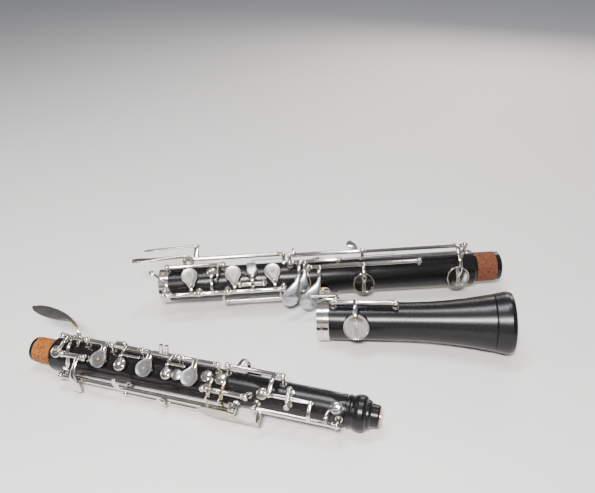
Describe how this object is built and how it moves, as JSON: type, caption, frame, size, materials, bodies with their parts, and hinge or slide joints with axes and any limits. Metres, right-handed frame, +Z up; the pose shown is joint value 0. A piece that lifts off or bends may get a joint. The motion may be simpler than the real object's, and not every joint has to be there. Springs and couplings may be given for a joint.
{
  "type": "oboe",
  "caption": "Conservatoire-system oboe taken apart: upper joint, lower joint and bell lying side by side, with hinged keys, pads, posts and springs.",
  "frame": {"origin": "on the resting surface, under the middle of the layout's bounding box", "axes": "+X along the layout from the tenon end of the upper joint towards the bell's rim, +Y away from the near side, +Z up"},
  "size_m": [0.3325, 0.1774, 0.0464],
  "materials": {
    "blackwood": "satin oiled grenadilla",
    "silver": "polished silver plate, finely worn",
    "steel": "turned steel",
    "blued_steel": "blued spring steel",
    "cork": "greased cork",
    "pad_skin": "pale skin pad",
    "brass": "turned brass"
  },
  "bodies": {
    "lower_joint": {"lower_body": "blackwood", "lower_socket_ring": "silver", "lower_tenon_cork": "cork", "lower_posts": "silver", "lower_hinge_rods": "steel", "lower_springs": "blued_steel", "thumb_rest": "silver", "thumb_rest_screws": "steel"},
    "upper_joint": {"upper_body": "blackwood", "upper_tenon_cork": "cork", "reed_well_liner": "brass", "upper_posts": "silver", "upper_hinge_rods": "steel", "upper_springs": "blued_steel"},
    "bell": {"bell_body": "blackwood", "bell_socket_ring": "silver", "bell_posts": "silver", "bell_hinge_rod": "steel", "bell_spring": "blued_steel"},
    "g_sharp_cup_key": {"g_sharp_cup_key": "silver"},
    "g_sharp_lever": {"g_sharp_lever": "silver"},
    "side_trill_lever": {"side_trill_lever": "silver"},
    "g_plate": {"g_plate": "silver", "g_pad": "pad_skin"},
    "c_vent_key": {"c_vent_key": "silver"},
    "a_plate": {"a_plate": "silver", "a_pad": "pad_skin"},
    "b_flat_vent_key": {"b_flat_vent_key": "silver"},
    "b_plate": {"b_plate": "silver", "b_pad": "pad_skin"},
    "d_trill_key": {"d_trill_key": "silver"},
    "c_trill_key": {"c_trill_key": "silver"},
    "d_trill_lever": {"d_trill_lever": "silver"},
    "c_trill_lever": {"c_trill_lever": "silver"},
    "side_octave_key": {"side_octave_key": "silver"},
    "octave_see_saw": {"octave_see_saw": "silver"},
    "thumb_octave_key": {"thumb_octave_key": "silver"},
    "bridge_lever": {"bridge_lever": "silver"},
    "f_sharp_plate": {"f_sharp_plate": "silver", "f_sharp_pad": "pad_skin"},
    "fork_f_vent_key": {"fork_f_vent_key": "silver"},
    "e_plate": {"e_plate": "silver", "e_pad": "pad_skin"},
    "d_plate": {"d_plate": "silver", "d_pad": "pad_skin"},
    "f_key": {"f_key": "silver", "f_pad": "pad_skin"},
    "left_e_flat_lever": {"left_e_flat_lever": "silver"},
    "left_b_flat_lever": {"left_b_flat_lever": "silver"},
    "e_flat_lever": {"e_flat_lever": "silver"},
    "e_flat_cup_key": {"e_flat_cup_key": "silver"},
    "c_sharp_key": {"c_sharp_key": "silver"},
    "low_c_key": {"low_c_key": "silver", "low_c_pad": "pad_skin"},
    "low_b_key": {"low_b_key": "silver", "low_b_pad": "pad_skin"},
    "bell_link_lever": {"bell_link_lever": "silver"},
    "low_b_flat_key": {"low_b_flat_key": "silver", "low_b_flat_pad": "pad_skin"}
  },
  "joints": [
    {"name": "upper_joint_lift", "type": "slide", "parent": "lower_joint", "child": "upper_joint", "axis": [0, 0, 1], "range_m": [0, 0.08]},
    {"name": "bell_lift", "type": "slide", "parent": "lower_joint", "child": "bell", "axis": [0, 0, 1], "range_m": [0, 0.08]},
    {"name": "g_sharp_cup_turn", "type": "hinge", "parent": "upper_joint", "child": "g_sharp_cup_key", "pos_m": [-0.13221, -0.03776, 0.02768], "axis": [0.9848, -0.1736, 0], "range_deg": [-7.2, 0], "stiffness_Nm_per_rad": 0.02},
    {"name": "g_sharp_lever_turn", "type": "hinge", "parent": "upper_joint", "child": "g_sharp_lever", "pos_m": [-0.1234, -0.05118, 0.02365], "axis": [0.9848, -0.1736, 0], "range_deg": [0, 4], "stiffness_Nm_per_rad": 0.02},
    {"name": "side_trill_lever_turn", "type": "hinge", "parent": "upper_joint", "child": "side_trill_lever", "pos_m": [-0.12433, -0.03915, 0.02768], "axis": [0.9848, -0.1736, 0], "range_deg": [-8, 0], "stiffness_Nm_per_rad": 0.02},
    {"name": "g_plate_turn", "type": "hinge", "parent": "upper_joint", "child": "g_plate", "pos_m": [-0.10955, -0.04175, 0.02768], "axis": [0.9848, -0.1736, 0], "range_deg": [0, 9], "stiffness_Nm_per_rad": 0.02},
    {"name": "c_vent_turn", "type": "hinge", "parent": "upper_joint", "child": "c_vent_key", "pos_m": [-0.08986, -0.04523, 0.02768], "axis": [0.9848, -0.1736, 0], "range_deg": [0, 9], "stiffness_Nm_per_rad": 0.02},
    {"name": "a_plate_turn", "type": "hinge", "parent": "upper_joint", "child": "a_plate", "pos_m": [-0.07016, -0.0487, 0.02768], "axis": [0.9848, -0.1736, 0], "range_deg": [0, 9], "stiffness_Nm_per_rad": 0.02},
    {"name": "b_flat_vent_turn", "type": "hinge", "parent": "upper_joint", "child": "b_flat_vent_key", "pos_m": [-0.05933, -0.05061, 0.02768], "axis": [0.9848, -0.1736, 0], "range_deg": [0, 9], "stiffness_Nm_per_rad": 0.02},
    {"name": "b_plate_turn", "type": "hinge", "parent": "upper_joint", "child": "b_plate", "pos_m": [-0.04062, -0.05391, 0.02768], "axis": [0.9848, -0.1736, 0], "range_deg": [0, 9], "stiffness_Nm_per_rad": 0.02},
    {"name": "d_trill_turn", "type": "hinge", "parent": "upper_joint", "child": "d_trill_key", "pos_m": [-0.03024, -0.06992, 0.02038], "axis": [0.9848, -0.1736, 0], "range_deg": [0, 7], "stiffness_Nm_per_rad": 0.02},
    {"name": "c_trill_turn", "type": "hinge", "parent": "upper_joint", "child": "c_trill_key", "pos_m": [-0.02039, -0.07166, 0.02038], "axis": [0.9848, -0.1736, 0], "range_deg": [0, 5.6], "stiffness_Nm_per_rad": 0.02},
    {"name": "d_trill_lever_turn", "type": "hinge", "parent": "upper_joint", "child": "d_trill_lever", "pos_m": [-0.07621, -0.06573, 0.01001], "axis": [0.9848, -0.1736, 0], "range_deg": [-7, 0], "stiffness_Nm_per_rad": 0.02},
    {"name": "c_trill_lever_turn", "type": "hinge", "parent": "upper_joint", "child": "c_trill_lever", "pos_m": [-0.05631, -0.06802, 0.00483], "axis": [0.9848, -0.1736, 0], "range_deg": [-4, 0], "stiffness_Nm_per_rad": 0.02},
    {"name": "side_octave_turn", "type": "hinge", "parent": "upper_joint", "child": "side_octave_key", "pos_m": [0.02243, -0.08216, 0.01519], "axis": [0.9848, -0.1736, 0], "range_deg": [0, 8], "stiffness_Nm_per_rad": 0.02},
    {"name": "octave_see_saw_turn", "type": "hinge", "parent": "upper_joint", "child": "octave_see_saw", "pos_m": [0.01769, -0.07451, 0.0219], "axis": [0.1311, 0.7432, 0.6561], "range_deg": [0, 5], "stiffness_Nm_per_rad": 0.02},
    {"name": "thumb_octave_turn", "type": "hinge", "parent": "upper_joint", "child": "thumb_octave_key", "pos_m": [-0.00413, -0.06002, 0.02816], "axis": [0.9848, -0.1736, 0], "range_deg": [-4.4, 0], "stiffness_Nm_per_rad": 0.02},
    {"name": "bridge_lever_turn", "type": "hinge", "parent": "lower_joint", "child": "bridge_lever", "pos_m": [-0.08111, 0.01877, 0.02127], "axis": [0.9863, 0.165, 0], "range_deg": [-5, 0], "stiffness_Nm_per_rad": 0.02},
    {"name": "f_sharp_plate_turn", "type": "hinge", "parent": "lower_joint", "child": "f_sharp_plate", "pos_m": [-0.06928, 0.02075, 0.02127], "axis": [0.9863, 0.165, 0], "range_deg": [-9, 0], "stiffness_Nm_per_rad": 0.02},
    {"name": "fork_f_vent_turn", "type": "hinge", "parent": "lower_joint", "child": "fork_f_vent_key", "pos_m": [-0.04955, 0.02405, 0.02127], "axis": [0.9863, 0.165, 0], "range_deg": [-9, 0], "stiffness_Nm_per_rad": 0.02},
    {"name": "e_plate_turn", "type": "hinge", "parent": "lower_joint", "child": "e_plate", "pos_m": [-0.02983, 0.02735, 0.02127], "axis": [0.9863, 0.165, 0], "range_deg": [-9, 0], "stiffness_Nm_per_rad": 0.02},
    {"name": "d_plate_turn", "type": "hinge", "parent": "lower_joint", "child": "d_plate", "pos_m": [-0.01207, 0.03032, 0.02127], "axis": [0.9863, 0.165, 0], "range_deg": [-9, 0], "stiffness_Nm_per_rad": 0.02},
    {"name": "f_key_turn", "type": "hinge", "parent": "lower_joint", "child": "f_key", "pos_m": [-0.02234, 0.03108, 0.0256], "axis": [0.9863, 0.165, 0], "range_deg": [0, 10], "stiffness_Nm_per_rad": 0.02},
    {"name": "left_e_flat_lever_turn", "type": "hinge", "parent": "lower_joint", "child": "left_e_flat_lever", "pos_m": [-0.06401, 0.03775, 0.03555], "axis": [0.9863, 0.165, 0], "range_deg": [-6, 0], "stiffness_Nm_per_rad": 0.02},
    {"name": "left_b_flat_lever_turn", "type": "hinge", "parent": "lower_joint", "child": "left_b_flat_lever", "pos_m": [-0.03531, 0.04801, 0.03834], "axis": [0.9863, 0.165, 0], "range_deg": [-6, 0], "stiffness_Nm_per_rad": 0.02},
    {"name": "e_flat_lever_turn", "type": "hinge", "parent": "lower_joint", "child": "e_flat_lever", "pos_m": [0.01031, 0.04805, 0.0352], "axis": [0.9863, 0.165, 0], "range_deg": [0, 4], "stiffness_Nm_per_rad": 0.02},
    {"name": "e_flat_cup_turn", "type": "hinge", "parent": "lower_joint", "child": "e_flat_cup_key", "pos_m": [0.02991, 0.04604, 0.0023], "axis": [0.9863, 0.165, 0], "range_deg": [-9, 0], "stiffness_Nm_per_rad": 0.02},
    {"name": "c_sharp_turn", "type": "hinge", "parent": "lower_joint", "child": "c_sharp_key", "pos_m": [0.02708, 0.05085, 0.0352], "axis": [0.9863, 0.165, 0], "range_deg": [0, 6], "stiffness_Nm_per_rad": 0.02},
    {"name": "low_c_turn", "type": "hinge", "parent": "lower_joint", "child": "low_c_key", "pos_m": [0.06038, 0.0518, 0.03287], "axis": [0.9863, 0.165, 0], "range_deg": [0, 9], "stiffness_Nm_per_rad": 0.02},
    {"name": "low_b_turn", "type": "hinge", "parent": "lower_joint", "child": "low_b_key", "pos_m": [0.09831, 0.06749, 0.03864], "axis": [0.9863, 0.165, 0], "range_deg": [0, 6], "stiffness_Nm_per_rad": 0.02},
    {"name": "bell_link_lever_turn", "type": "hinge", "parent": "lower_joint", "child": "bell_link_lever", "pos_m": [0.03124, 0.05627, 0.03864], "axis": [0.9863, 0.165, 0], "range_deg": [-6, 0], "stiffness_Nm_per_rad": 0.02},
    {"name": "low_b_flat_turn", "type": "hinge", "parent": "bell", "child": "low_b_flat_key", "pos_m": [0.061, 0.00347, 0.03428], "axis": [0.9983, -0.0174, 0.0548], "range_deg": [0, 6], "stiffness_Nm_per_rad": 0.02}
  ],
  "couplings": [
    {"joint": "g_sharp_cup_turn", "follows": "g_sharp_lever_turn", "ratio": -1.8},
    {"joint": "c_vent_turn", "follows": "a_plate_turn", "ratio": 1},
    {"joint": "b_flat_vent_turn", "follows": "b_plate_turn", "ratio": 1},
    {"joint": "d_trill_turn", "follows": "d_trill_lever_turn", "ratio": -1},
    {"joint": "c_trill_turn", "follows": "c_trill_lever_turn", "ratio": -1.4},
    {"joint": "octave_see_saw_turn", "follows": "thumb_octave_turn", "ratio": -1.1},
    {"joint": "fork_f_vent_turn", "follows": "e_plate_turn", "ratio": 1},
    {"joint": "e_flat_cup_turn", "follows": "e_flat_lever_turn", "ratio": -2.2}
  ]
}
